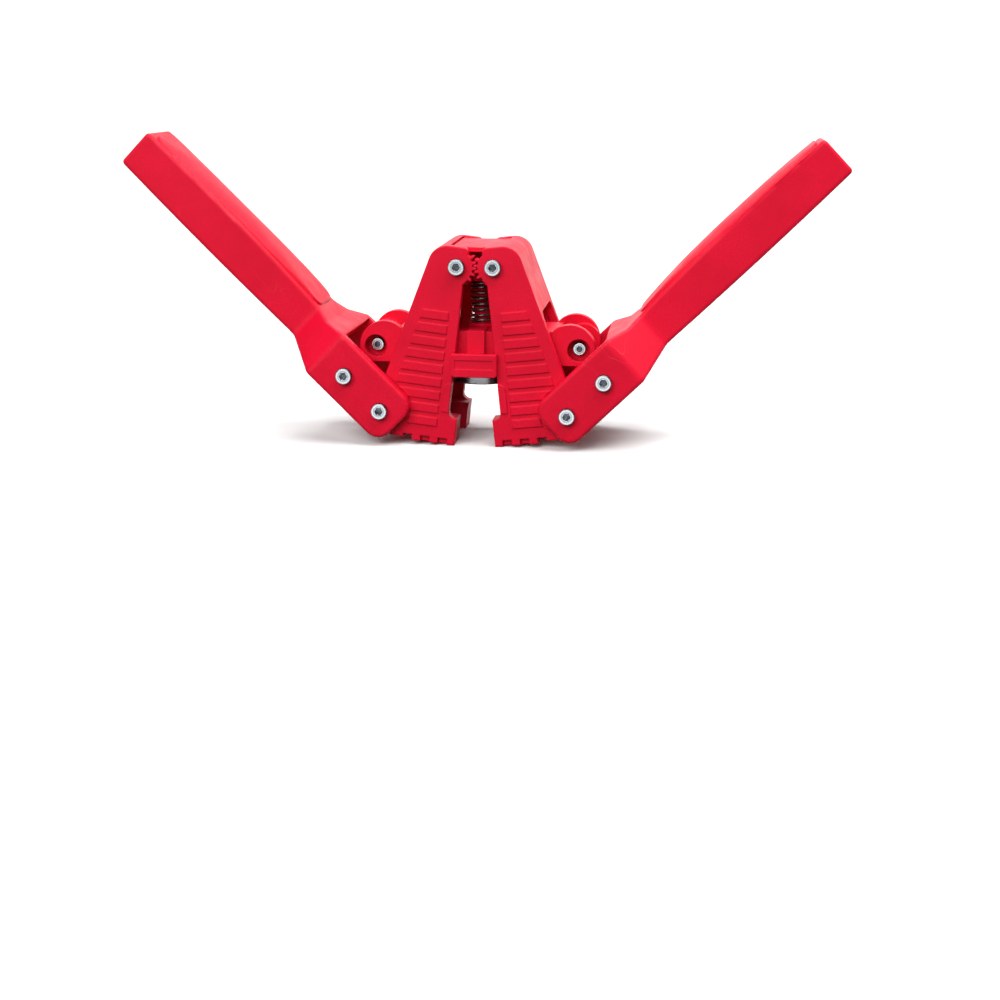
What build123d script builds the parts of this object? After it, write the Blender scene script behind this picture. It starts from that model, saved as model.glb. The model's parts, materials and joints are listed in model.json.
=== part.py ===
from build123d import *
import os
from math import acos, atan2, cos, degrees, hypot, pi, radians, sin, tan

# Hand-held double-lever crown capper, in its resting pose: handles up, jaws a little open.
# Frame: origin on the crown's axis where the straight throat of the crimping bell begins,
# +Z up, +X to the right, front towards -Y. Millimetres.
# Heights called "drop" are measured down from the two head pins.

# ---- driving dimensions: head and jaws
HEAD_PIN_Z = 59.5            # height of the head pins at rest
HEAD_PIN_X = 9.5             # half the distance between the head pins, also the gear pitch radius
GEAR_TEETH = 19              # teeth of a full wheel at that pitch radius
TOOTH_PLAY = 0.16            # play between meshing teeth, on the pitch circle
OPEN_ANGLE = 6.3             # each jaw's opening at rest, degrees
BODY_DEPTH = 61.0            # front face to back face of a jaw
PLATE = 6.0                  # thickness of a jaw's front and back plates
SIDE_WALL = 4.2              # thickness of a jaw's outer side wall
TOP_WALL = 4.5               # thickness of a jaw's top wall
JAW_RISE = 10.2              # top of the jaws above the head pins
JAW_DROP = 94.7              # bottom of the jaws
TOP_CORNER = 10.0            # radius of a jaw's outer top corner
JAW_SHOULDER = 22.4          # distance from the centre to the outer edge at the top
JAW_HIP = 40.5               # the same at the hip
HIP_DROP = 59.0
CENTRE_GAP = 0.6             # from the centre plane to a closed jaw's lower inner edge
SLOT_HALF = 5.4              # half width of the closed central slot
SLOT_DROP = 9.2              # top of the slot
SLOT_APEX = (2.9, 6.2)       # where the slot's top meets the gear: from the centre, and drop
NECK_DROP = 80.3             # top of the neck-gripping zone
STEP_RADIUS = 3.8
NOSE_X = 4.4                 # inner top corner of a jaw
NOSE_RISE = 6.6
RIB_COUNT = 9
RIB_PITCH = 7.1
RIB_HEIGHT = 4.5
RIB_RAISE = 0.7
RIB_FIRST_DROP = 24.1
RIB_INNER_X = 11.0
RIB_MARGIN = 6.4             # from the outer edge of the plate to the ribs
PAD_SIZE = (3.9, 15.5)
PAD_DROP = 61.5
NOTCH_WIDTH = 4.7
NOTCH_PITCH = 9.4
NOTCH_FIRST_X = 4.9
NOTCH_HEIGHT = 3.0
JAW_FLOOR = 4.2              # height of a jaw's closed foot
PIVOT_TUBE = 5.6             # radius of the tube round the handle's pivot screw
PIVOT_SKIN = 3.0             # wall round the pivot boss
PIVOT_WEB = 2.4              # webs between tube and wall
WINDOW_DROP = 26.0           # top of the window the carriage arm passes through
WINDOW_GAP = 1.2
WINDOW_CORNER = 5.0
NECK_RADIUS = 14.2           # bottle neck gripped by the half-moon inserts
INSERT_REACH = 24.0          # from the centre plane to the outer side of an insert
INSERT_PLAY = 0.1
INSERT_WALL = 3.0            # wall of the jaw behind the insert
INSERT_CORE = ((17.5, 21.5), (4.0, 21.0))    # open cores, out from the centre and along the depth
INSERT_ROOF = 3.0
TAB_PLAY = 0.25              # play of the insert's tabs in the notches
TAB_INSET = 2.2              # tabs below the faces of the jaw

# ---- handles and links
PIVOT_X = 41.0               # handle pivot on a closed jaw
PIVOT_DROP = 79.65
PIVOT_BOSS = 11.5
HANDLE_ANGLE = 44.3          # handle above horizontal at rest
HANDLE_LENGTH = 189.5        # pivot to tip
GRIP_DEPTH = 36.0
NECK_TOP = 11.3              # upper edge of the grip above the pivot line, next to the bend
GRIP_TOP = 13.6              # the same at its middle and tip
GRIP_BOTTOM = 9.6            # lower edge below the pivot line
GRIP_STEP = 0.12             # small step all round where the grip begins
GRIP_CROWN = 16.8            # top of the domed back
CROWN_HALF = 15.4            # half width of the domed back
TIP_CORNER = 2.2
CHEEK_TOP = 14.8             # upper edge of the fork cheeks above the pivot line
CHEEK_BOTTOM = 13.9          # their lower edge below it
CHEEK_END = 11.8             # pivot to the end of the cheeks
CHEEK_CORNER = 8.5
CHEEK = 6.2                  # thickness of a fork cheek
CHEEK_GAP = 0.8              # between a cheek and the jaw it straddles
CHEEK_LENGTH = 41.5          # pivot to the start of the bend
FORK_DEPTH = 40.5            # pivot to the root of the fork
BEND_END = 61.0              # where the cheeks have come in to the grip
BEND_DIP = 52.0              # where the bend's upper edge has come down to the grip's
BEND_ROUND = 5.0
BEND_MARGIN = 3.0            # straight lengths at both ends of the bend
HANDLE_WALL = 3.3
HANDLE_RIBS = 5
HANDLE_RIB = 2.2
HANDLE_EDGE = 1.6            # rounding of the handle's long edges
LINK_ON_HANDLE = 26.2        # link pin from the handle pivot
ARM_PIN_X = 54.06            # link pin on the carriage arm
ARM_PIN_DROP = 43.55
LINK_BOSS = 6.0
LINK_WEB = 7.0
OPEN_PIVOT_PLAY = 0.8        # radial play of the link on the handle's pin

# ---- carriage, bell and spring
ARM_ARCH_X = 49.5
ARM_ARCH_DROP = 43.2
ARM_ARCH_RADIUS = 13.0
ARM_FOOT = 8.3               # flat underside below the arm pin
ARM_PLATE = 5.0
ARM_NECK_RISE = 4.5          # top of the bar behind each arm's disc, above the disc's centre
ARM_BOSS = 9.0
ARM_BOSS_DEPTH = 5.5
ARM_COUNTERBORE = 6.0        # radius
ARM_COUNTERBORE_DEPTH = 8.0
ARM_GAP = 1.5                # arms to the inside of the jaw plates
WEB_X = (33.0, 43.0)
BELL_WALL = 1.0              # carriage left outside the bell
CARRIAGE_TOP_DROP = 34.7
CARRIAGE_BOTTOM_DROP = 57.3
TAB_WIDTH = 9.2
GUIDE_SIZE = (24.0, 12.2)
GUIDE_PLATE = 3.2
GUIDE_GAP = 0.4              # guide plate to the raised ribs of the jaws
GUIDE_NECK = 8.6
GUIDE_BAND = (4.2, 9.0)      # recessed band, from the guide's lower edge
GUIDE_RIM = 1.8
BELL_RADIUS = 18.5
BELL_THROAT = 14.3
BELL_MOUTH = 16.6
THROAT_LENGTH = 8.0
MOUTH_LENGTH = 4.5
BELL_HEIGHT = 19.0
MAGNET_RADIUS = 8.0
MAGNET_THICKNESS = 3.0
SPRING_RADIUS = 5.5          # to the middle of the wire
SPRING_WIRE = 0.75           # wire radius
SPRING_PITCH = 2.9
SPIGOT_LENGTH = 8.5
BRIDGE_HALF = 12.9
BRIDGE_DROP = 10.0
BRIDGE_GAP = 0.3
SHIELD_HALF = 7.7            # wall behind the spring
SHIELD_BOTTOM_DROP = 31.0
SHIELD = 3.0
BRIDGE_DISH = (260.0, 0.7)   # radius and depth of the hollow across the bridge's top
PIN_BOSS = 5.8
POCKET = (4.3, 8.0, 3.0)     # pocket behind the teeth: half width, inner end, roof
TOP_GAP = 0.9                # line between the bridge and the jaws' top walls at rest

# ---- fasteners
M5 = 2.5                     # shank radius
M5_HEAD = (4.25, 3.5)        # head radius and height
M5_HEX = 4.0                 # socket across flats
M5_NUT = (8.0, 4.7)          # across flats and height
M4 = 2.0
M4_HEAD = (3.5, 2.8)
M4_HEX = 3.0
M4_NUT = (7.0, 3.2)
THREAD_PAST_NUT = 1.5
RUNNING = 0.06               # radial play of a moving part on its pin
CLEARANCE = 0.1              # radial play of a fixed part on its screw
SNUG = 0.02                  # radial play of a nut's thread and of the bell in its pocket
EDGE = 0.6                   # rounding of moulded edges

# ---- places that follow from them
HALF = BODY_DEPTH / 2
INSIDE = HALF - PLATE
CHEEK_IN = HALF + CHEEK_GAP
CHEEK_OUT = CHEEK_IN + CHEEK
ARM_OUT = INSIDE - ARM_GAP
HEAD_PIN = (HEAD_PIN_X, HEAD_PIN_Z)
PIVOT = (PIVOT_X, HEAD_PIN_Z - PIVOT_DROP)
ARM_PIN = (ARM_PIN_X, HEAD_PIN_Z - ARM_PIN_DROP)
BELL_BOTTOM = -MOUTH_LENGTH
BELL_TOP = BELL_BOTTOM + BELL_HEIGHT
CARRIAGE_HALF = BELL_RADIUS + BELL_WALL
CARRIAGE_TOP = HEAD_PIN_Z - CARRIAGE_TOP_DROP
CARRIAGE_BOTTOM = HEAD_PIN_Z - CARRIAGE_BOTTOM_DROP
SPRING_SEAT = CARRIAGE_TOP + 1.7
BRIDGE_BOTTOM = HEAD_PIN_Z - BRIDGE_DROP
SLOPE = atan2(JAW_HIP - JAW_SHOULDER, JAW_RISE + HIP_DROP)


def down(drop):
    """Height of a point given its drop below the head pins."""
    return HEAD_PIN_Z - drop


def turn(point, centre, angle):
    """A point turned about a centre in the X-Z plane, anticlockwise seen from the front."""
    c, s = cos(radians(angle)), sin(radians(angle))
    x, z = point[0] - centre[0], point[1] - centre[1]
    return (centre[0] + c * x - s * z, centre[1] + s * x + c * z)


PIVOT_AT_REST = turn(PIVOT, HEAD_PIN, OPEN_ANGLE)
LINK_PIN = (PIVOT_AT_REST[0] + LINK_ON_HANDLE * cos(radians(HANDLE_ANGLE)),
            PIVOT_AT_REST[1] + LINK_ON_HANDLE * sin(radians(HANDLE_ANGLE)))


# ---- helpers
def slab(sketch, y0, y1):
    """An X-Z outline made solid from y0 to y1."""
    plane = Plane(origin=(0, y1, 0), x_dir=(1, 0, 0), z_dir=(0, -1, 0))
    return extrude(plane * sketch, amount=y1 - y0)


def rod(point, radius, y0, y1):
    """A round bar along Y."""
    return slab(Pos(*point) * Circle(radius), y0, y1)


def block(x0, x1, y0, y1, z0, z1):
    return Pos((x0 + x1) / 2, (y0 + y1) / 2, (z0 + z1) / 2) * Box(x1 - x0, y1 - y0, z1 - z0)


def outline(points):
    return make_face(Polyline(*points, close=True))


def rounded(sketch, corner, radius):
    """The outline with the corner nearest to a point rounded."""
    return fillet(sketch.vertices().sort_by_distance((corner[0], corner[1], 0))[0], radius)


def opened(shape, side):
    """Turn a closed jaw, or a piece in it, to its resting angle and put it on its side."""
    rest = Pos(HEAD_PIN_X, 0, HEAD_PIN_Z) * Rot(0, -OPEN_ANGLE, 0) * Pos(-HEAD_PIN_X, 0, -HEAD_PIN_Z) * shape
    return rest if side > 0 else mirror(rest, Plane.YZ)


def on_side(shape, side):
    return shape if side > 0 else mirror(shape, Plane.YZ)


def write(name, shape):
    shape.label = name
    export_step(shape, f"parts/{name}.step")


# ---- jaws
def jaw_edge(z):
    """The outer edge of a closed jaw plate at a height."""
    return JAW_SHOULDER + (HEAD_PIN_Z + JAW_RISE - z) * tan(SLOPE)


def tooth(angle):
    """One involute tooth about the origin, pointing at an angle in degrees."""
    module = 2 * HEAD_PIN_X / GEAR_TEETH
    base = HEAD_PIN_X * cos(radians(20))
    root, tip = HEAD_PIN_X - 1.2 * module, HEAD_PIN_X + 0.9 * module

    def involute(radius):
        pressure = acos(min(1, base / radius))
        return tan(pressure) - pressure

    half = pi / (2 * GEAR_TEETH) - TOOTH_PLAY / (2 * HEAD_PIN_X)
    radii = [base + (tip - base) * k / 4 for k in range(5)]
    flank = [(r, half + involute(HEAD_PIN_X) - involute(r)) for r in radii]
    flank = [(root - 0.4, flank[0][1])] + flank
    points = [(r * cos(a), r * sin(a)) for r, a in flank]
    points += [(r * cos(a), -r * sin(a)) for r, a in reversed(flank)]
    return Rot(0, 0, angle) * outline(points)


def gear(side):
    """The hub of a jaw plate with its toothed sector; the two jaws' teeth are half a pitch apart."""
    pitch = 360 / GEAR_TEETH
    turns = [-2, -1, 0, 1, 2] if side < 0 else [-1.5, -0.5, 0.5, 1.5]
    hub = Circle(HEAD_PIN_X - 1.2 * 2 * HEAD_PIN_X / GEAR_TEETH)
    for k in turns:
        hub += tooth(180 + k * pitch)
    return Pos(*HEAD_PIN) * hub


def jaw_plate():
    top, step = HEAD_PIN_Z + JAW_RISE, down(NECK_DROP)
    bottom, bottom_outer = down(JAW_DROP), down(JAW_DROP - 1.2)
    nose = HEAD_PIN_Z + NOSE_RISE
    notch_end = NOTCH_FIRST_X + 2 * NOTCH_PITCH
    sketch = outline([
        (CENTRE_GAP, bottom), (CENTRE_GAP, step), (SLOT_HALF, step), (SLOT_HALF, down(SLOT_DROP)),
        (SLOT_APEX[0], down(SLOT_APEX[1])), (HEAD_PIN_X, HEAD_PIN_Z),
        (HEAD_PIN_X, nose), (NOSE_X, nose), (NOSE_X, top),
        (JAW_SHOULDER, top), (jaw_edge(PIVOT[1] + 8), PIVOT[1] + 8),
        (PIVOT[0] + PIVOT_BOSS, PIVOT[1]), (PIVOT[0], PIVOT[1] - PIVOT_BOSS),
        (PIVOT[0] - 6, bottom_outer), (notch_end, bottom_outer), (notch_end, bottom)])
    sketch = rounded(sketch, (JAW_SHOULDER, top), TOP_CORNER)
    sketch = rounded(sketch, (NOSE_X, top), 2.6)
    sketch = rounded(sketch, (SLOT_HALF, step), STEP_RADIUS)
    sketch += Pos(*PIVOT) * Circle(PIVOT_BOSS)
    for k in range(3):
        x = NOTCH_FIRST_X + k * NOTCH_PITCH + NOTCH_WIDTH / 2
        sketch -= Pos(x, bottom) * Rectangle(NOTCH_WIDTH, 2 * NOTCH_HEIGHT)
    return sketch


def jaw_cavity():
    """Outline of the space between the front and back plates."""
    top, bottom = HEAD_PIN_Z + JAW_RISE, down(JAW_DROP)
    shift = SIDE_WALL / cos(SLOPE)
    ceiling = top - TOP_WALL
    wall_in = PIVOT[1] + PIVOT_BOSS - 2
    gap = BRIDGE_HALF + TOP_GAP + JAW_RISE * sin(radians(OPEN_ANGLE))
    floor = bottom + JAW_FLOOR
    behind = INSERT_REACH + INSERT_PLAY
    sketch = outline([
        (-1, bottom - 1), (-1, top + 1), (gap, top + 1), (gap, ceiling),
        (jaw_edge(ceiling) - shift, ceiling), (jaw_edge(wall_in) - shift, wall_in),
        (PIVOT[0], PIVOT[1] + PIVOT_BOSS - 4), (PIVOT[0], floor), (behind, floor), (behind, bottom - 1)])
    return sketch + Pos(*PIVOT) * Circle(PIVOT_BOSS - PIVOT_SKIN)


def ribs():
    """Raised grip ribs, cut off along the plate's outer edge and round the handle pivot."""
    top = HEAD_PIN_Z + JAW_RISE
    shift = RIB_MARGIN / cos(SLOPE)
    zone = outline([(RIB_INNER_X, top), (JAW_SHOULDER - shift, top),
                    (jaw_edge(down(JAW_DROP)) - shift, down(JAW_DROP)), (RIB_INNER_X, down(JAW_DROP))])
    sweep_radius = CHEEK_CORNER + hypot(CHEEK_END - CHEEK_CORNER, CHEEK_TOP - CHEEK_CORNER)
    zone -= Pos(*PIVOT) * Circle(sweep_radius - 0.6)
    bars = Sketch()
    for k in range(RIB_COUNT):
        z = down(RIB_FIRST_DROP + k * RIB_PITCH) - RIB_HEIGHT / 2
        bars += Pos(RIB_INNER_X + 20, z) * Rectangle(40, RIB_HEIGHT)
    return bars & zone


def pad():
    """Raised pad beside the lip window, its outer top corner round."""
    width, height = PAD_SIZE
    x, z = SLOT_HALF, down(PAD_DROP)
    sketch = outline([(x, z), (x + width, z), (x + width, z - height), (x, z - height)])
    return rounded(sketch, (x + width, z), width - 0.6)


def window():
    """Opening in the side wall that the carriage arm passes through."""
    top, bottom = down(WINDOW_DROP), PIVOT[1] + PIVOT_BOSS + EDGE
    half = ARM_OUT + WINDOW_GAP
    face = Rectangle(2 * half, top - bottom)
    face = fillet(face.vertices().group_by(Axis.Y)[-1], WINDOW_CORNER)
    plane = Plane(origin=(16, 0, (top + bottom) / 2), x_dir=(0, 1, 0), z_dir=(1, 0, 0))
    return extrude(plane * face, amount=50)


def jaw(side):
    plate = slab(jaw_plate(), -HALF, HALF)
    rims = plate.edges().filter_by_position(Axis.Y, -HALF - 0.01, -HALF + 0.01)
    rims += plate.edges().filter_by_position(Axis.Y, HALF - 0.01, HALF + 0.01)
    plate = fillet(rims, EDGE)
    body = plate - slab(jaw_cavity(), -INSIDE, INSIDE) - window()
    teeth = gear(side)
    for y0, y1 in ((-HALF, -INSIDE), (INSIDE, HALF)):
        body += slab(teeth, y0, y1)
    # tube for the handle's pivot screw, on four webs
    body += rod(PIVOT, PIVOT_TUBE, -INSIDE, INSIDE)
    for angle in (45, 135, 225, 315):
        reach = PIVOT_BOSS - PIVOT_SKIN / 2
        web = Pos(*PIVOT) * Rot(0, 0, angle) * Pos(reach / 2, 0) * Rectangle(reach, PIVOT_WEB)
        body += slab(web, -INSIDE, INSIDE)
    # wall that the neck insert is pushed against
    behind = INSERT_REACH + INSERT_PLAY
    body += block(behind, behind + INSERT_WALL, -INSIDE, INSIDE, down(JAW_DROP - 1.2), down(NECK_DROP))
    for sketch in (ribs(), pad()):
        body += slab(sketch, -HALF - RIB_RAISE, -HALF)
        body += slab(sketch, HALF, HALF + RIB_RAISE)
    body -= rod(HEAD_PIN, M5 + RUNNING, -HALF - 1, HALF + 1)
    body -= rod(PIVOT, M5 + RUNNING, -HALF - 1, HALF + 1)
    return opened(body, side)


def neck_insert(side):
    """Half-moon block that closes round the bottle neck, held by tabs in the jaw's notches."""
    top, bottom = down(NECK_DROP), down(JAW_DROP)
    depth = INSIDE - INSERT_PLAY
    body = block(CENTRE_GAP, INSERT_REACH, -depth, depth, bottom + 0.3, top)
    height = top - bottom
    middle = Pos(0, 0, (top + bottom) / 2)
    body -= middle * Cylinder(NECK_RADIUS, height + 2)
    body -= Pos(0, 0, top - 1) * Cone(NECK_RADIUS - 0.01, NECK_RADIUS + 2, 2.01)
    for y in (-1, 1):
        # open cores behind the gripping arc
        (x0, x1), ends = INSERT_CORE
        y0, y1 = sorted(y * end for end in ends)
        body -= block(x0, x1, y0, y1, bottom, top - INSERT_ROOF)
        for k in range(3):
            x = NOTCH_FIRST_X + k * NOTCH_PITCH + TAB_PLAY
            far = min(x + NOTCH_WIDTH - 2 * TAB_PLAY, INSERT_REACH)
            y0, y1 = sorted((y * (depth - 1), y * (HALF - TAB_INSET)))
            if far - x > 1:
                body += block(x, far, y0, y1, bottom + 0.3, bottom + NOTCH_HEIGHT - TAB_PLAY)
    return opened(body, side)


# ---- head bridge
def spigot():
    """Stub that keeps an end of the spring in place."""
    return Cylinder(SPRING_RADIUS - SPRING_WIRE - 0.5, SPIGOT_LENGTH)


def head_bridge():
    """Block between the jaw plates that carries both head pins and the upper end of the spring."""
    top = HEAD_PIN_Z + JAW_RISE
    sketch = outline([(-BRIDGE_HALF, top - 5), (-BRIDGE_HALF, top), (BRIDGE_HALF, top),
                      (BRIDGE_HALF, top - 5), (HEAD_PIN_X, BRIDGE_BOTTOM + 3),
                      (HEAD_PIN_X - 1, BRIDGE_BOTTOM), (1 - HEAD_PIN_X, BRIDGE_BOTTOM),
                      (-HEAD_PIN_X, BRIDGE_BOTTOM + 3)])
    for side in (-1, 1):
        sketch += Pos(side * HEAD_PIN_X, HEAD_PIN_Z) * Circle(PIN_BOSS)
    depth = INSIDE - BRIDGE_GAP
    body = slab(sketch, -depth, depth)
    # the top is dished a little across its width
    dish, sag = BRIDGE_DISH
    body -= rod((0, top + dish - sag), dish, -depth - 1, depth + 1)
    half, inner, roof = POCKET
    for y0, y1 in ((-depth - 1, -inner), (inner, depth + 1)):
        # pockets behind the teeth, open at the face and underneath
        body -= block(-half, half, y0, y1, BRIDGE_BOTTOM - 1, top - roof)
    low = down(SHIELD_BOTTOM_DROP)
    body += block(-SHIELD_HALF, SHIELD_HALF, depth - SHIELD, depth, low, BRIDGE_BOTTOM + 2)
    body += Pos(0, 0, BRIDGE_BOTTOM - SPIGOT_LENGTH / 2) * spigot()
    for side in (-1, 1):
        body -= rod((side * HEAD_PIN_X, HEAD_PIN_Z), M5 + CLEARANCE, -depth - 1, depth + 1)
    return body


# ---- handles
def edges_beyond(body, width):
    """Long edges of a handle piece that lie outside a width."""
    return body.edges().filter_by(lambda edge: abs(edge.center().Y) > width / 2 and edge.length > 3)


def handle_plan(cheek, grip, start, end, corner):
    """Plan outline of a handle, wide at the fork and narrow along the grip."""
    half = [(start, cheek), (CHEEK_LENGTH, cheek), (BEND_END, grip), (end, grip)]
    sketch = outline(half + [(x, -y) for x, y in reversed(half)])
    for side in (-1, 1):
        sketch = rounded(sketch, (CHEEK_LENGTH, side * cheek), BEND_ROUND)
        sketch = rounded(sketch, (BEND_END, side * grip), BEND_ROUND)
        sketch = rounded(sketch, (end, side * grip), corner)
    return sketch


def handle_fork():
    """The two cheeks' outer shape, its pivot at the origin and its length along the first axis."""
    root = CHEEK_LENGTH - BEND_MARGIN
    sketch = outline([(-CHEEK_END, -CHEEK_BOTTOM), (root, -CHEEK_BOTTOM), (root, CHEEK_TOP),
                      (-CHEEK_END, CHEEK_TOP)])
    for z in (-CHEEK_BOTTOM, CHEEK_TOP):
        sketch = rounded(sketch, (-CHEEK_END, z), CHEEK_CORNER)
    body = slab(sketch, -CHEEK_OUT, CHEEK_OUT)
    outer = edges_beyond(body, 2 * CHEEK_OUT - 1).filter_by(lambda edge: edge.center().X < root - 1)
    return fillet(outer, HANDLE_EDGE)


def handle_bend():
    """Where the handle narrows from the fork to the grip, both its edges coming in as it does."""
    root, neck = CHEEK_LENGTH - BEND_MARGIN, BEND_END + BEND_MARGIN
    bends = [(CHEEK_LENGTH, -CHEEK_BOTTOM), (BEND_END, -GRIP_BOTTOM), (BEND_DIP, NECK_TOP),
             (CHEEK_LENGTH + 1, CHEEK_TOP)]
    sketch = outline([(root, -CHEEK_BOTTOM), bends[0], bends[1], (neck, -GRIP_BOTTOM),
                      (neck, NECK_TOP), bends[2], bends[3], (root, CHEEK_TOP)])
    for corner in bends:
        sketch = rounded(sketch, corner, BEND_ROUND)
    plan = handle_plan(CHEEK_OUT, GRIP_DEPTH / 2, 0, HANDLE_LENGTH, 1)
    body = slab(sketch, -CHEEK_OUT, CHEEK_OUT) & extrude(Pos(0, 0, -40) * plan, amount=80)
    outer = edges_beyond(body, 10).filter_by(
        lambda edge: root + 0.1 < edge.center().X < neck - 0.1 and abs(edge.tangent_at(0.5).Z) < 0.8)
    return fillet(outer, HANDLE_EDGE)


def handle_grip():
    """The hand grip with its domed back, stepped in a little where it leaves the bend."""
    start, half = BEND_END + BEND_MARGIN - 5, GRIP_DEPTH / 2 - GRIP_STEP
    top, low = NECK_TOP - GRIP_STEP, -GRIP_BOTTOM + GRIP_STEP
    tip_top, tip_bottom = (HANDLE_LENGTH, GRIP_TOP - 0.2), (HANDLE_LENGTH, -GRIP_BOTTOM + 1)
    waist = (start + HANDLE_LENGTH) / 2
    sketch = make_face([ThreePointArc((start, low), (waist, -GRIP_BOTTOM - 0.1), tip_bottom),
                        Line(tip_bottom, tip_top), ThreePointArc(tip_top, (waist, GRIP_TOP), (start, top)),
                        Line((start, top), (start, low))])
    sketch = rounded(rounded(sketch, tip_top, TIP_CORNER), tip_bottom, TIP_CORNER)
    body = slab(sketch, -half, half)
    outer = edges_beyond(body, 2 * half - 1).filter_by(lambda edge: edge.center().X > start + 1)
    body = fillet(outer, HANDLE_EDGE)
    # domed back
    first, last = BEND_END + 1, HANDLE_LENGTH - 4
    crown = make_face([ThreePointArc((first, NECK_TOP + 0.7), (waist, GRIP_CROWN), (last, GRIP_TOP + 0.9)),
                       Line((last, GRIP_TOP + 0.9), (last, 5)), Line((last, 5), (first, 5)),
                       Line((first, 5), (first, NECK_TOP + 0.7))])
    rise = GRIP_CROWN - GRIP_TOP
    radius = (CROWN_HALF ** 2 + rise ** 2) / (2 * rise)
    dome = slab(crown, -CROWN_HALF, CROWN_HALF)
    ends = fillet(dome.edges().filter_by(Axis.Z), 6)
    barrel = Pos(waist, 0, GRIP_CROWN - radius) * Rot(0, 90, 0) * Cylinder(radius, HANDLE_LENGTH)
    return body + (ends & barrel)


def handle(side):
    body = handle_fork() + handle_bend() + handle_grip()
    # hollow from below, ribbed
    start = -CHEEK_END - 10
    inner = GRIP_DEPTH / 2 - HANDLE_WALL
    ceiling = NECK_TOP - HANDLE_WALL
    hollow = extrude(Pos(0, 0, -40) * handle_plan(CHEEK_IN, inner, start, HANDLE_LENGTH - HANDLE_WALL, 3),
                     amount=40 + ceiling)
    body -= hollow
    body -= block(start, FORK_DEPTH, -CHEEK_IN, CHEEK_IN, -40, 40)
    spacing = (HANDLE_LENGTH - BEND_END - 10) / HANDLE_RIBS
    for k in range(HANDLE_RIBS):
        x = BEND_END + 8 + k * spacing
        body += block(x, x + HANDLE_RIB, -inner, inner, -GRIP_BOTTOM + 2, ceiling)
    for x in (0, LINK_ON_HANDLE):
        body -= rod((x, 0), M5 + CLEARANCE, -CHEEK_OUT - 1, CHEEK_OUT + 1)
    placed = Pos(PIVOT_AT_REST[0], 0, PIVOT_AT_REST[1]) * Rot(0, -HANDLE_ANGLE, 0) * body
    return on_side(placed, side)


def link(side):
    """Moulded link from the carriage arm to the handle; its handle end is the open pivot."""
    short = ARM_OUT - ARM_PLATE - ARM_BOSS_DEPTH - 0.3
    long = CHEEK_IN - 0.4
    length = hypot(LINK_PIN[0] - ARM_PIN[0], LINK_PIN[1] - ARM_PIN[1])
    lean = degrees(atan2(LINK_PIN[1] - ARM_PIN[1], LINK_PIN[0] - ARM_PIN[0]))
    body = rod((0, 0), LINK_BOSS, -short, short) + rod((length, 0), LINK_BOSS, -long, long)
    body += block(0, length, -short, short, -LINK_WEB / 2, LINK_WEB / 2)
    body -= rod((0, 0), M4 + RUNNING, -short - 1, short + 1)
    body -= rod((length, 0), M5 + OPEN_PIVOT_PLAY, -long - 1, long + 1)
    return on_side(Pos(ARM_PIN[0], 0, ARM_PIN[1]) * Rot(0, -lean, 0) * body, side)


# ---- carriage and its guides
def arm_plate():
    foot = ARM_PIN[1] - ARM_FOOT
    arch = (ARM_ARCH_X, down(ARM_ARCH_DROP))
    end = arch[0] + ARM_ARCH_RADIUS
    sketch = Pos(*arch) * Circle(ARM_ARCH_RADIUS)
    bar = arch[1] + ARM_NECK_RISE
    sketch += outline([(CARRIAGE_HALF - 4, foot), (CARRIAGE_HALF - 4, bar), (arch[0], bar),
                       (end, arch[1]), (end - 1.5, foot)])
    return sketch & (Pos(arch[0], foot + 30) * Rectangle(90, 60))


def carriage():
    centre = block(-CARRIAGE_HALF, CARRIAGE_HALF, -ARM_OUT, ARM_OUT, CARRIAGE_BOTTOM, CARRIAGE_TOP)
    centre = fillet(centre.edges().filter_by(Axis.Z), 3)
    body = centre
    plate_in = ARM_OUT - ARM_PLATE
    boss_in = plate_in - ARM_BOSS_DEPTH
    for side in (-1, 1):
        arm = slab(arm_plate(), -ARM_OUT, -plate_in) + slab(arm_plate(), plate_in, ARM_OUT)
        foot = ARM_PIN[1] - ARM_FOOT
        arm += block(WEB_X[0], WEB_X[1], -plate_in, plate_in, foot, CARRIAGE_TOP)
        boss = rod(ARM_PIN, ARM_BOSS, boss_in, plate_in)
        boss += mirror(boss, Plane.XZ)
        arm += boss & block(0, 90, -HALF, HALF, foot, 90)
        arm -= rod(ARM_PIN, M4 + CLEARANCE, -HALF, HALF)
        for y in (-1, 1):
            y0, y1 = sorted((y * (ARM_OUT - ARM_COUNTERBORE_DEPTH), y * (ARM_OUT + 1)))
            arm -= rod(ARM_PIN, ARM_COUNTERBORE, y0, y1)
        body += on_side(arm, side)
    # tab in the jaws' slot, front and back, above the guides
    tab_low = CARRIAGE_BOTTOM + 2
    body += block(-TAB_WIDTH / 2, TAB_WIDTH / 2, -INSIDE - 1.5, INSIDE + 1.5, tab_low, CARRIAGE_TOP + 0.8)
    # seat and spigot of the spring
    seat = SPRING_SEAT - CARRIAGE_TOP
    body += Pos(0, 0, CARRIAGE_TOP + seat / 2) * Cylinder(SPRING_RADIUS + SPRING_WIRE + 0.8, seat)
    body += Pos(0, 0, SPRING_SEAT + SPIGOT_LENGTH / 2) * spigot()
    # pocket of the bell
    depth = BELL_TOP - CARRIAGE_BOTTOM
    body -= Pos(0, 0, BELL_TOP - depth / 2 - 1) * Cylinder(BELL_RADIUS + SNUG, depth + 2)
    return body


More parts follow.
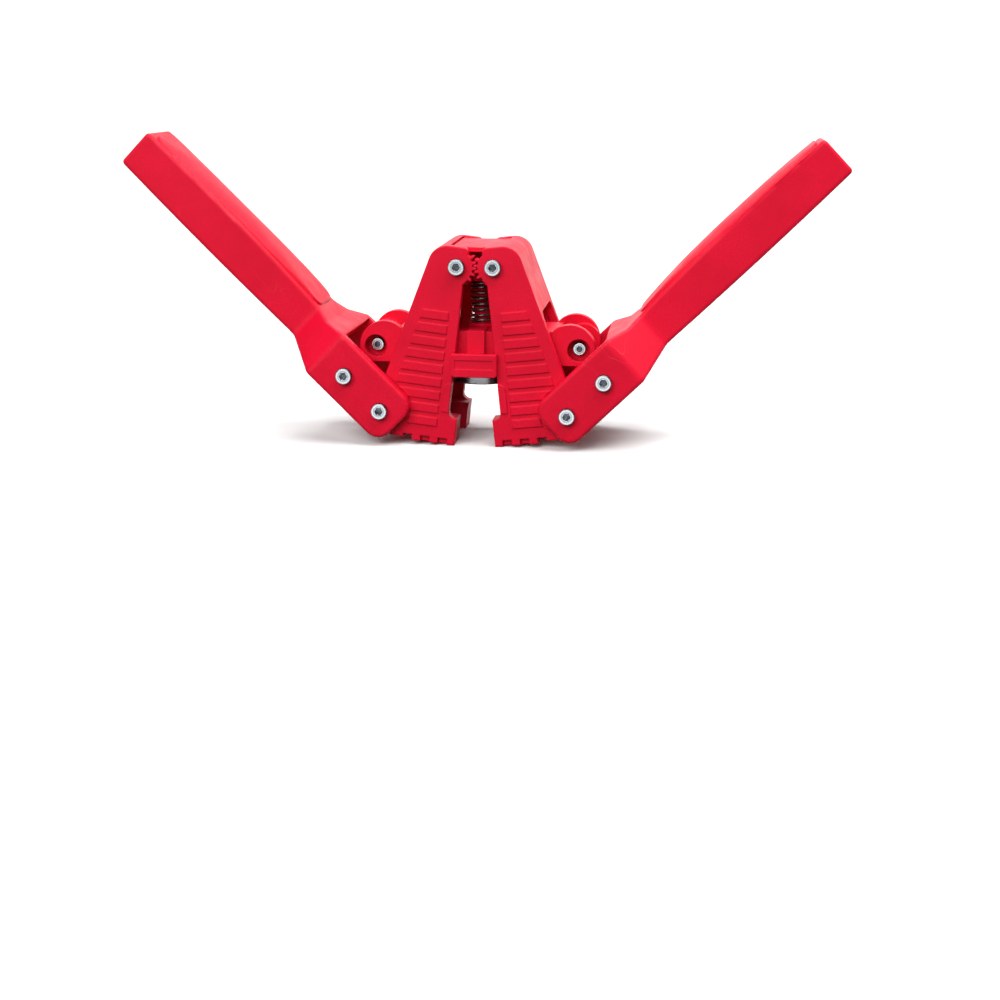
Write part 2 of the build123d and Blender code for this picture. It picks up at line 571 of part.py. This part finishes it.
def guide(face):
    """T-shaped guide that holds the jaw plates against the carriage; face -1 front, 1 back."""
    width, height = GUIDE_SIZE
    near = HALF + RIB_RAISE + GUIDE_GAP
    far = near + GUIDE_PLATE
    low, top = CARRIAGE_BOTTOM, CARRIAGE_BOTTOM + height
    plate = outline([(-width / 2 + 1, low), (-width / 2, low + 1), (-width / 2, top), (width / 2, top),
                     (width / 2, low + 1), (width / 2 - 1, low)])
    body = fillet(slab(plate, -far, -near).edges().filter_by_position(Axis.Y, -far - 0.01, -far + 0.01), 0.5)
    # recessed band across the face
    rim = width / 2 - GUIDE_RIM
    body -= block(-rim, rim, -far - 1, -far + 0.5, low + GUIDE_BAND[0], low + GUIDE_BAND[1])
    body += block(-GUIDE_NECK / 2, GUIDE_NECK / 2, -near - 0.1, -INSIDE - 1.5, low + 2.5, top - 0.5)
    return body if face < 0 else mirror(body, Plane.XZ)


def crimping_bell():
    points = [(BELL_MOUTH, BELL_BOTTOM), (BELL_RADIUS - 0.6, BELL_BOTTOM), (BELL_RADIUS, BELL_BOTTOM + 0.6),
              (BELL_RADIUS, BELL_TOP), (0, BELL_TOP), (0, THROAT_LENGTH + MAGNET_THICKNESS),
              (MAGNET_RADIUS, THROAT_LENGTH + MAGNET_THICKNESS), (MAGNET_RADIUS, THROAT_LENGTH),
              (BELL_THROAT, THROAT_LENGTH), (BELL_THROAT, 0), (BELL_MOUTH - 0.9, -MOUTH_LENGTH * 0.6)]
    return revolve(Plane.XZ * outline(points), Axis.Z)


def bell_magnet():
    height = MAGNET_THICKNESS - 0.1
    disc = Pos(0, 0, THROAT_LENGTH + MAGNET_THICKNESS - height / 2) * Cylinder(MAGNET_RADIUS - 0.1, height)
    return chamfer(disc.edges().group_by(Axis.Z)[0], 0.4)


def return_spring():
    """Compression spring between the carriage and the head bridge, its ends ground flat."""
    low, top = SPRING_SEAT, BRIDGE_BOTTOM
    wire = SPRING_WIRE
    length = top - low
    start = low - wire
    path = Pos(0, 0, start) * Helix(SPRING_PITCH, length + 2 * wire, SPRING_RADIUS)
    section = Plane(origin=path @ 0, z_dir=path % 0) * Circle(wire)
    coil = sweep(section, path=path)
    return coil & block(-20, 20, -20, 20, low, top)


# ---- fasteners
def screw(point, radius, head, hex_size, seat, end):
    """Low socket-head screw along +Y from its seat to its end."""
    head_radius, head_height = head
    body = rod(point, radius, seat, end) + rod(point, head_radius, seat - head_height, seat)
    rim = body.edges().filter_by_position(Axis.Y, seat - head_height - 0.01, seat - head_height + 0.01)
    body = fillet(rim, 0.5)
    socket = Pos(*point) * RegularPolygon(hex_size / 3 ** 0.5, 6)
    body -= slab(socket, seat - head_height - 1, seat - head_height + 0.7 * head_height)
    tip = body.edges().filter_by_position(Axis.Y, end - 0.01, end + 0.01)
    return chamfer(tip, 0.4)


def nut(point, radius, size, seat):
    """Hexagon nut on a screw, its seat towards the front."""
    flats, height = size
    body = slab(Pos(*point) * RegularPolygon(flats / 3 ** 0.5, 6), seat, seat + height)
    cap = rod(point, flats / 3 ** 0.5 - 0.15, seat, seat + height)
    cap = chamfer(cap.edges(), 0.35)
    return (body & cap) - rod(point, radius + SNUG, seat - 1, seat + height + 1)


def pair(make, point):
    """The same fastener on both sides, as one group of separate solids."""
    left = (-point[0], point[1])
    return Compound(children=[make(point), make(left)])


def m5_screw(point, reach):
    return screw(point, M5, M5_HEAD, M5_HEX, -reach, reach + M5_NUT[1] + THREAD_PAST_NUT)


def m5_nut(point, reach):
    return nut(point, M5, M5_NUT, reach)


def sided(point, side):
    return (side * point[0], point[1])


os.makedirs("parts", exist_ok=True)

write("carriage", carriage())
write("crimping_bell", crimping_bell())
write("bell_magnet", bell_magnet())
write("front_guide", guide(-1))
write("rear_guide", guide(1))
ARM_SEAT = ARM_OUT - ARM_COUNTERBORE_DEPTH
write("arm_pivot_screws", pair(
    lambda p: screw(p, M4, M4_HEAD, M4_HEX, -ARM_SEAT, ARM_SEAT + M4_NUT[1] + THREAD_PAST_NUT), ARM_PIN))
write("arm_pivot_nuts", pair(lambda p: nut(p, M4, M4_NUT, ARM_SEAT), ARM_PIN))
write("head_bridge", head_bridge())
write("head_pin_screws", pair(lambda p: m5_screw(p, HALF), HEAD_PIN))
write("head_pin_nuts", pair(lambda p: m5_nut(p, HALF), HEAD_PIN))
write("return_spring", return_spring())
for name, side in (("left", -1), ("right", 1)):
    write(f"{name}_jaw", jaw(side))
    write(f"{name}_neck_insert", neck_insert(side))
    write(f"{name}_handle", handle(side))
    write(f"{name}_link", link(side))
    write(f"{name}_handle_pivot_screw", m5_screw(sided(PIVOT_AT_REST, side), CHEEK_OUT))
    write(f"{name}_handle_pivot_nut", m5_nut(sided(PIVOT_AT_REST, side), CHEEK_OUT))
    write(f"{name}_link_screw", m5_screw(sided(LINK_PIN, side), CHEEK_OUT))
    write(f"{name}_link_nut", m5_nut(sided(LINK_PIN, side), CHEEK_OUT))
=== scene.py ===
import bmesh
import bpy
import json
from math import cos, pi, radians, sin
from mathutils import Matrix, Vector


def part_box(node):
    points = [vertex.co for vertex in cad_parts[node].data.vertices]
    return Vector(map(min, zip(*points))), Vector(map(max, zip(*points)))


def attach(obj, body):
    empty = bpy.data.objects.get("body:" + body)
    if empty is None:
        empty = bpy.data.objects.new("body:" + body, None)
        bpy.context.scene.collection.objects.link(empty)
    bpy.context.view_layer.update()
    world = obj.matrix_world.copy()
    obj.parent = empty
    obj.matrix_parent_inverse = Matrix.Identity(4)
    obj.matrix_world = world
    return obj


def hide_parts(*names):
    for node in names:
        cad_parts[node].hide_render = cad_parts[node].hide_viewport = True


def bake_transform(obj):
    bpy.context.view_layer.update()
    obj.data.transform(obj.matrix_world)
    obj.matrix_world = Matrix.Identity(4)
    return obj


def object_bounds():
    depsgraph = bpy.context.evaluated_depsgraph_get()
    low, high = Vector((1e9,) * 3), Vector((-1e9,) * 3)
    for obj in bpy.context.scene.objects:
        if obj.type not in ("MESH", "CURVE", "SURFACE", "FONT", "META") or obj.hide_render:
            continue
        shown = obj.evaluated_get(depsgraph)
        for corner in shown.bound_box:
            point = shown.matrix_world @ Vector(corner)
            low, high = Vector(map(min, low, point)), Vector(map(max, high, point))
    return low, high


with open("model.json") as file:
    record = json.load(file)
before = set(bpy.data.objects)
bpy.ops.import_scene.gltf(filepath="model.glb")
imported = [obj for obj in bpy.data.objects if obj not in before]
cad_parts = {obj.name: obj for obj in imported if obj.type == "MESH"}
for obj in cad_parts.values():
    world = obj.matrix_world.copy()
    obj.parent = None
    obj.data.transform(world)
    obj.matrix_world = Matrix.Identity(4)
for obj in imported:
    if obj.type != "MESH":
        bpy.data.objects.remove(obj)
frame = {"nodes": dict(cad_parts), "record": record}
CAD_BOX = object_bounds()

MM = 0.001


def middle(node):
    """Centre of a CAD node's box."""
    low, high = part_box(node)
    return (Vector(low) + Vector(high)) / 2


# ---------------------------------------------------------------- materials
class Graph:
    """Short spellings for building a material's nodes."""

    def __init__(self, name):
        self.material = bpy.data.materials.new(name)
        self.material.use_nodes = True
        self.tree = self.material.node_tree
        self.shader = self.tree.nodes["Principled BSDF"]

    def node(self, kind, **settings):
        made = self.tree.nodes.new(kind)
        for key, value in settings.items():
            if key in made.inputs:
                made.inputs[key].default_value = value
            else:
                setattr(made, key, value)
        return made

    def link(self, out, into):
        self.tree.links.new(out, into)
        return into.node

    def place(self, scale=(1, 1, 1), turn=(0, 0, 0)):
        """Object coordinates, stretched and turned."""
        source = self.node("ShaderNodeTexCoord")
        mapping = self.node("ShaderNodeMapping", Scale=scale, Rotation=turn)
        self.link(source.outputs["Object"], mapping.inputs["Vector"])
        return mapping.outputs["Vector"]

    def noise(self, scale, detail=3.0, rough=0.5, at=None):
        made = self.node("ShaderNodeTexNoise", Scale=scale, Detail=detail, Roughness=rough)
        self.link(at or self.place(), made.inputs["Vector"])
        return made.outputs["Fac"]

    def spread(self, value, low, high, to_low=0.0, to_high=1.0):
        """Stretch part of a value's range over a new range."""
        made = self.node("ShaderNodeMapRange")
        for key, number in zip(("From Min", "From Max", "To Min", "To Max"), (low, high, to_low, to_high)):
            made.inputs[key].default_value = number
        self.link(value, made.inputs["Value"])
        return made.outputs["Result"]

    def mix(self, factor, a, b, mode="MIX"):
        made = self.node("ShaderNodeMix", data_type="RGBA", blend_type=mode)
        self.link(factor, made.inputs["Factor"])
        for value, socket in ((a, made.inputs[6]), (b, made.inputs[7])):
            if isinstance(value, bpy.types.NodeSocket):
                self.link(value, socket)
            else:
                socket.default_value = (*value, 1.0)
        return made.outputs[2]

    def bumps(self, *layers, edge=0.0):
        """Stack height layers, each (height, distance in metres, strength), on softened edges."""
        normal = None
        if edge:
            normal = self.node("ShaderNodeBevel", samples=6, Radius=edge).outputs["Normal"]
        for height, distance, strength in layers:
            made = self.node("ShaderNodeBump", Distance=distance, Strength=strength)
            self.link(height, made.inputs["Height"])
            if normal:
                self.link(normal, made.inputs["Normal"])
            normal = made.outputs["Normal"]
        self.link(normal, self.shader.inputs["Normal"])

    def set(self, **values):
        for key, value in values.items():
            name = key.replace("_", " ")
            self.shader.inputs[name].default_value = value


RED = (0.76, 0.003, 0.031)
RED_DEEP = (0.63, 0.002, 0.023)
RED_PALE = (0.90, 0.095, 0.130)


def moulded_red(name, turn=0.0, scratched=0.0, edge=0.00042):
    """Satin injection-moulded plastic with a fine spark-eroded grain, light rubbing and scratches."""
    g = Graph(name)
    patches = g.noise(38, 4, 0.55)
    mottle = g.noise(950, 2, 0.6)
    grain = g.noise(2600, 2, 0.6)
    ripple = g.noise(160, 2, 0.4)
    streak_place = g.place(scale=(1, 9, 14), turn=(0, turn, 0))
    streaks = g.noise(260, 5, 0.7, streak_place)
    colour = g.mix(g.spread(patches, 0.35, 0.7), RED, RED_DEEP)
    colour = g.mix(g.spread(mottle, 0.40, 0.66, 0, 0.75), colour, RED_DEEP)
    worn = g.spread(streaks, 0.62, 0.78, 0, 0.10 + 0.22 * scratched)
    colour = g.mix(worn, colour, RED_PALE)
    line = g.node("ShaderNodeMath", operation="PINGPONG")
    g.link(g.noise(55, 1.5, 0.4), line.inputs[0])
    line.inputs[1].default_value = 0.5
    where = g.spread(g.noise(21, 2, 0.5), 0.55, 0.64, 0, 0.42 * scratched)
    scratch = g.node("ShaderNodeMath", operation="MULTIPLY")
    g.link(g.spread(line.outputs[0], 0.4972, 0.4996), scratch.inputs[0])
    g.link(where, scratch.inputs[1])
    colour = g.mix(scratch.outputs[0], colour, RED_PALE)
    g.link(colour, g.shader.inputs["Base Color"])
    g.link(g.spread(g.noise(90, 5, 0.6), 0.3, 0.75, 0.38, 0.54), g.shader.inputs["Roughness"])
    g.set(Specular_IOR_Level=0.17, IOR=1.49, Subsurface_Weight=0.06, Subsurface_Scale=0.002)
    g.shader.inputs["Subsurface Radius"].default_value = (1.0, 0.12, 0.10)
    g.bumps((ripple, 0.00018, 0.25), (mottle, 0.00005, 0.35), (grain, 0.00003, 0.45),
            (streaks, 0.00002, 0.12 + 0.3 * scratched), (scratch.outputs[0], 0.00004, 0.6), edge=edge)
    return g.material


ZINC, ZINC_DULL = (0.66, 0.69, 0.72), (0.44, 0.48, 0.51)
# Colour rings across a screw head by distance from its axis: painted shade in the socket and at the outer
# edge, painted highlights as the bright rings between
SOCKET_SHADE_AND_HIGHLIGHT_RINGS = ((0.00, (0.030, 0.045, 0.060)), (0.28, (0.020, 0.030, 0.040)), (0.45, (0.012, 0.016, 0.022)),
                (0.52, (0.60, 0.63, 0.65)), (0.58, (0.20, 0.24, 0.27)), (0.70, (0.33, 0.37, 0.40)),
                (0.80, (0.62, 0.66, 0.68)), (0.89, (0.36, 0.40, 0.43)), (0.96, (0.04, 0.04, 0.05)))


def zinc(name):
    """Bright zinc plate with faint turning marks."""
    g = Graph(name)
    marks = g.noise(900, 3, 0.5, g.place(scale=(1, 0.1, 1)))
    cloud = g.noise(420, 4, 0.6)
    colour = g.mix(g.spread(cloud, 0.3, 0.7), ZINC, ZINC_DULL)
    g.link(colour, g.shader.inputs["Base Color"])
    g.link(g.spread(marks, 0.3, 0.7, 0.18, 0.36), g.shader.inputs["Roughness"])
    g.set(Metallic=1.0)
    g.bumps((marks, 0.00004, 0.35))
    return g.material


def screw_zinc(node):
    """Zinc plate of a socket screw: painted shade in the socket and at the head's edge, painted highlight
    rings on the head, plain shank.
    """
    piece = frame["nodes"][node]
    low, high = (Vector(v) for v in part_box(node))
    head = (high.z - low.z) / 2
    pair = high.x - low.x > 4 * head
    across = (high.x - head, low.x + head) if pair else (middle(node).x,)
    back = piece.matrix_world.inverted()
    g = Graph("zinc " + node)
    source = g.node("ShaderNodeTexCoord").outputs["Object"]
    nearest = None
    for x in across:
        centre = back @ Vector((x, low.y, middle(node).z))
        shift = g.node("ShaderNodeMapping", Scale=(1, 0, 1), Location=(-centre.x, 0, -centre.z))
        g.link(source, shift.inputs["Vector"])
        length = g.node("ShaderNodeVectorMath", operation="LENGTH")
        g.link(shift.outputs["Vector"], length.inputs[0])
        if nearest is None:
            nearest = length.outputs["Value"]
        else:
            least = g.node("ShaderNodeMath", operation="MINIMUM")
            g.link(nearest, least.inputs[0])
            g.link(length.outputs["Value"], least.inputs[1])
            nearest = least.outputs[0]
    # painted shade in the socket and painted highlight rings, set by distance from the nearest screw axis
    ramp = g.node("ShaderNodeValToRGB")
    g.link(g.spread(nearest, 0, head), ramp.inputs["Fac"])
    steps = ramp.color_ramp.elements
    while len(steps) < len(SOCKET_SHADE_AND_HIGHLIGHT_RINGS):
        steps.new(0.5)
    for step, (at, tone) in zip(steps, SOCKET_SHADE_AND_HIGHLIGHT_RINGS):
        step.position, step.color = at, (*tone, 1)
    cloud = g.noise(420, 4, 0.6)
    plain = g.mix(g.spread(cloud, 0.3, 0.7), ZINC, ZINC_DULL)
    depth = g.node("ShaderNodeSeparateXYZ")
    g.link(source, depth.inputs["Vector"])
    front = (back @ Vector((0, low.y, 0))).y
    shank = g.spread(depth.outputs["Y"], front + 3.2 * MM, front + 4.2 * MM)
    g.link(g.mix(shank, g.mix(g.spread(cloud, 0.3, 0.7, 0, 0.25), ramp.outputs["Color"], ZINC_DULL), plain),
           g.shader.inputs["Base Color"])
    marks = g.noise(900, 3, 0.5)
    g.link(g.spread(marks, 0.3, 0.7, 0.20, 0.38), g.shader.inputs["Roughness"])
    g.set(Metallic=1.0)
    g.bumps((marks, 0.00004, 0.35))
    return g.material


def bell_steel(name):
    """Turned steel with rings and a few dark spots."""
    g = Graph(name)
    rings = g.noise(1500, 2, 0.5, g.place(scale=(0.05, 0.05, 1)))
    spots = g.noise(300, 4, 0.6)
    colour = g.mix(g.spread(spots, 0.55, 0.75), (0.20, 0.20, 0.21), (0.10, 0.10, 0.10))
    g.link(colour, g.shader.inputs["Base Color"])
    g.link(g.spread(rings, 0.3, 0.7, 0.24, 0.40), g.shader.inputs["Roughness"])
    g.set(Metallic=1.0)
    g.bumps((rings, 0.00005, 0.4))
    return g.material


def spring_steel(name):
    """Black oiled spring wire with drawing marks."""
    g = Graph(name)
    drawn = g.noise(1200, 4, 0.6)
    colour = g.mix(g.spread(drawn, 0.45, 0.75), (0.09, 0.088, 0.090), (0.26, 0.25, 0.24))
    g.link(colour, g.shader.inputs["Base Color"])
    g.link(g.spread(drawn, 0.3, 0.7, 0.24, 0.42), g.shader.inputs["Roughness"])
    g.set(Metallic=0.85, Specular_IOR_Level=0.6)
    g.bumps((drawn, 0.00003, 0.4))
    return g.material


def nickel(name):
    """Nickel-plated magnet, lightly scuffed."""
    g = Graph(name)
    scuffs = g.noise(700, 5, 0.7)
    colour = g.mix(g.spread(scuffs, 0.4, 0.7), (0.72, 0.70, 0.66), (0.55, 0.54, 0.52))
    g.link(colour, g.shader.inputs["Base Color"])
    g.link(g.spread(scuffs, 0.3, 0.7, 0.12, 0.3), g.shader.inputs["Roughness"])
    g.set(Metallic=1.0)
    g.bumps((scuffs, 0.00002, 0.3))
    return g.material


LEAN = radians(44.3)     # handles above horizontal
FINISH = {
    "jaw_plastic": moulded_red("red plastic jaws", 0.0, 0.25, 0.0007),
    "carriage_plastic": moulded_red("red plastic carriage", 0.0, 0.1),
    "zinc_steel": zinc("zinc plate"),
    "bell_steel": bell_steel("turned steel"),
    "spring_steel": spring_steel("spring wire"),
    "magnet_nickel": nickel("nickel plate"),
}
HANDLE_RED = {"left": moulded_red("red plastic left handle", -LEAN, 0.6, 0.0020),
              "right": moulded_red("red plastic right handle", LEAN, 1.0, 0.0020)}
SLOTS = {row["node"]: row["material_slot"] for row in frame["record"]["subparts"]}


def finish_of(node):
    slot = SLOTS[node]
    if slot == "handle_plastic":
        return HANDLE_RED[node.split("_")[0]]
    if slot == "zinc_steel" and "screw" in node:
        return screw_zinc(node)
    return FINISH[slot]


def dress(node):
    """Give a CAD node its procedural material."""
    piece = frame["nodes"][node]
    piece.data.materials.clear()
    piece.data.materials.append(finish_of(node))


for node in frame["nodes"]:
    dress(node)


# ---------------------------------------------------------------- spring
def tube_mesh(name, path, radius, sides=12):
    """A round wire along a list of points, closed at both ends."""
    mesh = bmesh.new()
    rings = []
    for k, point in enumerate(path):
        ahead = path[min(k + 1, len(path) - 1)] - path[max(k - 1, 0)]
        ahead.normalize()
        out = Vector((point.x, point.y, 0)).normalized()
        up = ahead.cross(out).normalized()
        out = up.cross(ahead)
        turns = [2 * pi * a / sides for a in range(sides)]
        ring = [mesh.verts.new(point + radius * (cos(turn) * out + sin(turn) * up)) for turn in turns]
        rings.append(ring)
    for one, two in zip(rings, rings[1:]):
        for a in range(sides):
            mesh.faces.new((one[a], one[(a + 1) % sides], two[(a + 1) % sides], two[a]))
    mesh.faces.new(rings[0])
    mesh.faces.new(list(reversed(rings[-1])))
    bmesh.ops.recalc_face_normals(mesh, faces=mesh.faces)
    data = bpy.data.meshes.new(name)
    mesh.to_mesh(data)
    mesh.free()
    data.polygons.foreach_set("use_smooth", [True] * len(data.polygons))
    piece = bpy.data.objects.new(name, data)
    bpy.context.collection.objects.link(piece)
    return piece


def spring():
    """Coil spring whose end coils lie closed on their seats."""
    low, high = (Vector(v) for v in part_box("return_spring"))
    wire = 0.78 * MM
    radius = (high.x - low.x) / 2 - wire
    bottom, top = low.z + wire, high.z - wire
    closed, active, per_turn = 1.0, 6.0, 40
    lift = 2 * wire
    turns = active + 2 * closed
    pitch = (top - bottom - 2 * lift * closed) / active
    path = []
    for k in range(int(turns * per_turn) + 1):
        t = k / per_turn
        dead = min(t, closed) + max(0, t - closed - active)
        height = bottom + dead * lift + min(max(t - closed, 0), active) * pitch
        angle = 2 * pi * t + 0.6
        path.append(Vector((radius * cos(angle), radius * sin(angle), height)))
    piece = tube_mesh("wound_spring", path, wire)
    piece.data.materials.append(FINISH["spring_steel"])
    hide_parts("return_spring")
    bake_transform(piece)
    return piece


spring()


# ---------------------------------------------------------------- grip covers
FIRST, WAIST, LAST = 62.0, 124.25, 185.5                  # along the handle from its pivot, mm
CROWN, RISE, WIDTH = 16.8, 3.2, 15.4                      # height of the back, its rise and half width
ARC = ((FIRST, 12.0), (WAIST, CROWN), (LAST, 14.5))        # long profile of the domed back
PLAY = 0.05                                               # how far the cover stands out sideways
HALF, CORNER, BASE = WIDTH + PLAY, 6.0, 9.5
BARREL = (WIDTH ** 2 + RISE ** 2) / (2 * RISE)            # radius across the back
SOFT = 1.0                                                # width over which the two curves blend
EDGE_ROWS = (-1, -0.985, -0.95, -0.88, -0.78, -0.64, -0.48, -0.32, -0.16, 0)


def arc_height(points):
    """Height function of the arc through three points."""
    (ax, ay), (bx, by), (cx, cy) = points
    d = 2 * (ax * (by - cy) + bx * (cy - ay) + cx * (ay - by))
    a, b, c = ax * ax + ay * ay, bx * bx + by * by, cx * cx + cy * cy
    x0 = (a * (by - cy) + b * (cy - ay) + c * (ay - by)) / d
    y0 = (a * (cx - bx) + b * (ax - cx) + c * (bx - ax)) / d
    r2 = (ax - x0) ** 2 + (ay - y0) ** 2
    return lambda x: y0 + (r2 - (x - x0) ** 2) ** 0.5


def grip_cover(side):
    """Smoothly crowned back of a grip, laid just over the moulded one."""
    long_arc = arc_height(ARC)
    pivot = middle(side + "_handle_pivot_screw")
    way = 1 if side == "right" else -1
    rows = list(EDGE_ROWS) + [-r for r in reversed(EDGE_ROWS[:-1])]
    steps = []
    for k in range(101):
        t = (1 - cos(pi * k / 100)) / 2
        steps.append(FIRST - PLAY + t * (LAST - FIRST + 2 * PLAY))

    def put(x, y, z):
        return Vector((way * (abs(pivot.x) + MM * (x * cos(LEAN) - z * sin(LEAN))), y * MM,
                       pivot.z + MM * (x * sin(LEAN) + z * cos(LEAN))))

    mesh = bmesh.new()
    top, under = [], []
    for x in steps:
        d = max(0.0, min(x - steps[0], steps[-1] - x))
        half = HALF if d >= CORNER else HALF - CORNER + (CORNER ** 2 - (CORNER - d) ** 2) ** 0.5
        line = []
        for r in rows:
            y = r * half
            one, two = long_arc(x), CROWN - BARREL + (BARREL ** 2 - y * y) ** 0.5
            near = max(SOFT - abs(one - two), 0) / SOFT
            line.append(mesh.verts.new(put(x, y, min(one, two) - near * near * SOFT / 4 + SOFT / 4)))
        top.append(line)
        under.append([mesh.verts.new(put(x, r * half, BASE)) for r in rows])
    for one, two in zip(top, top[1:]):
        for k in range(len(rows) - 1):
            mesh.faces.new((one[k], one[k + 1], two[k + 1], two[k])).smooth = True
    for one, two in zip(under, under[1:]):
        for k in range(len(rows) - 1):
            mesh.faces.new((two[k], two[k + 1], one[k + 1], one[k]))
    for k in (0, -1):
        for j in range(len(steps) - 1):
            mesh.faces.new((top[j][k], top[j + 1][k], under[j + 1][k], under[j][k]))
    for j in (0, -1):
        for k in range(len(rows) - 1):
            mesh.faces.new((top[j][k], top[j][k + 1], under[j][k + 1], under[j][k]))
    bmesh.ops.recalc_face_normals(mesh, faces=mesh.faces)
    data = bpy.data.meshes.new(side + "_grip_cover")
    mesh.to_mesh(data)
    mesh.free()
    piece = bpy.data.objects.new(side + "_grip_cover", data)
    bpy.context.collection.objects.link(piece)
    data.materials.append(HANDLE_RED[side])
    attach(piece, side + "_handle")


for side in ("left", "right"):
    grip_cover(side)


# ---------------------------------------------------------------- floor, light, camera
def floor():
    """Pale floor that curves up into a backdrop behind."""
    level = CAD_BOX[0][2]
    depth, rise, radius, width = 1.6, 1.4, 0.7, 6.0
    profile = [(-8.0, 0), (depth - radius, 0)]
    for a in range(1, 17):
        turn = a * pi / 32
        profile.append((depth - radius + radius * sin(turn), radius - radius * cos(turn)))
    profile.append((depth, rise + radius))
    mesh = bmesh.new()
    edges = [[mesh.verts.new((x, y, level + z)) for x in (-width, width)] for y, z in profile]
    for one, two in zip(edges, edges[1:]):
        mesh.faces.new((one[0], one[1], two[1], two[0]))
    data = bpy.data.meshes.new("floor")
    mesh.to_mesh(data)
    mesh.free()
    data.polygons.foreach_set("use_smooth", [True] * len(data.polygons))
    sheet = bpy.data.objects.new("floor", data)
    bpy.context.collection.objects.link(sheet)
    g = Graph("pale paper")
    fibres = g.noise(40, 5, 0.6)
    g.link(g.mix(fibres, (0.93, 0.93, 0.93), (0.97, 0.97, 0.97)), g.shader.inputs["Base Color"])
    g.link(g.spread(fibres, 0, 1, 0.75, 0.9), g.shader.inputs["Roughness"])
    data.materials.append(g.material)
    sheet.visible_diffuse = False        # no bounce light on the object from below


def lamp(name, place, aim, size, power, colour=(1, 1, 1)):
    light = bpy.data.lights.new(name, "AREA")
    light.shape = "RECTANGLE"
    light.size, light.size_y = size
    light.energy = power
    light.color = colour
    holder = bpy.data.objects.new(name, light)
    holder.location = place
    holder.rotation_euler = (Vector(aim) - Vector(place)).to_track_quat("-Z", "Y").to_euler()
    bpy.context.collection.objects.link(holder)


def studio():
    target = (0, 0, 0.03)
    lamp("overhead softbox", (0.35, -0.20, 1.0), target, (0.9, 0.7), 12)
    lamp("front fill", (-0.45, -1.4, 0.90), target, (1.5, 0.9), 28)
    lamp("right strip", (1.1, -0.2, 0.5), target, (0.4, 1.0), 2)
    lamp("backdrop wash", (0, 0.9, 2.0), (0, 2.0, 0.4), (3.0, 0.5), 60)
    world = bpy.data.worlds.new("white room")
    world.use_nodes = True
    world.node_tree.nodes["Background"].inputs["Color"].default_value = (1, 1, 1, 1)
    world.node_tree.nodes["Background"].inputs["Strength"].default_value = 0.10
    bpy.context.scene.world = world
    bpy.context.scene.view_settings.view_transform = "Standard"


def camera():
    data = bpy.data.cameras.new("camera")
    data.lens = 60.3
    data.sensor_width = 36
    data.clip_start = 0.01
    holder = bpy.data.objects.new("camera", data)
    holder.location = (0.11598, -0.89217, 0.15891)
    holder.rotation_euler = (radians(75.565), radians(-0.33), radians(6.843))
    bpy.context.collection.objects.link(holder)
    bpy.context.scene.camera = holder


floor()
studio()
camera()
